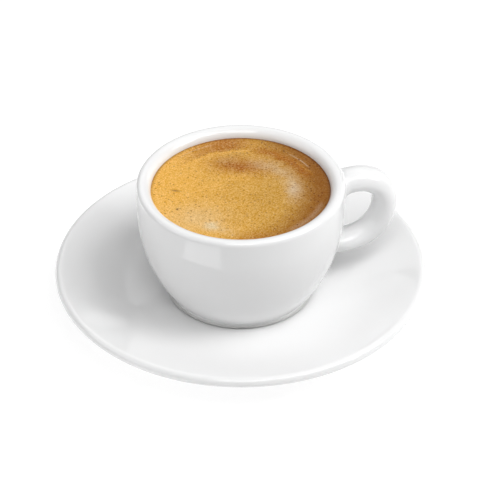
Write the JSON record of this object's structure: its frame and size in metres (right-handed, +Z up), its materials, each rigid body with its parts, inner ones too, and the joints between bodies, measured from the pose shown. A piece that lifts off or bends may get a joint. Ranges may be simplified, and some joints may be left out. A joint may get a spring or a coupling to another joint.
{
  "type": "espresso shot in a cup",
  "caption": "Espresso with golden crema in a thick-walled white porcelain cup with a finger ring, standing on its round saucer.",
  "frame": {"origin": "centre of the saucer's foot ring, on the table", "axes": "+Z up along the axis of cup and saucer, +X towards the cup's handle"},
  "size_m": [0.12, 0.12, 0.0468],
  "materials": {
    "saucer_glaze": "glossy white glaze",
    "cup_glaze": "glossy white glaze",
    "crema": "coffee under a fine golden-brown foam, in place of a liquid"
  },
  "bodies": {
    "root": {"saucer": "saucer_glaze", "cup": "cup_glaze", "espresso": "crema"}
  },
  "joints": []
}
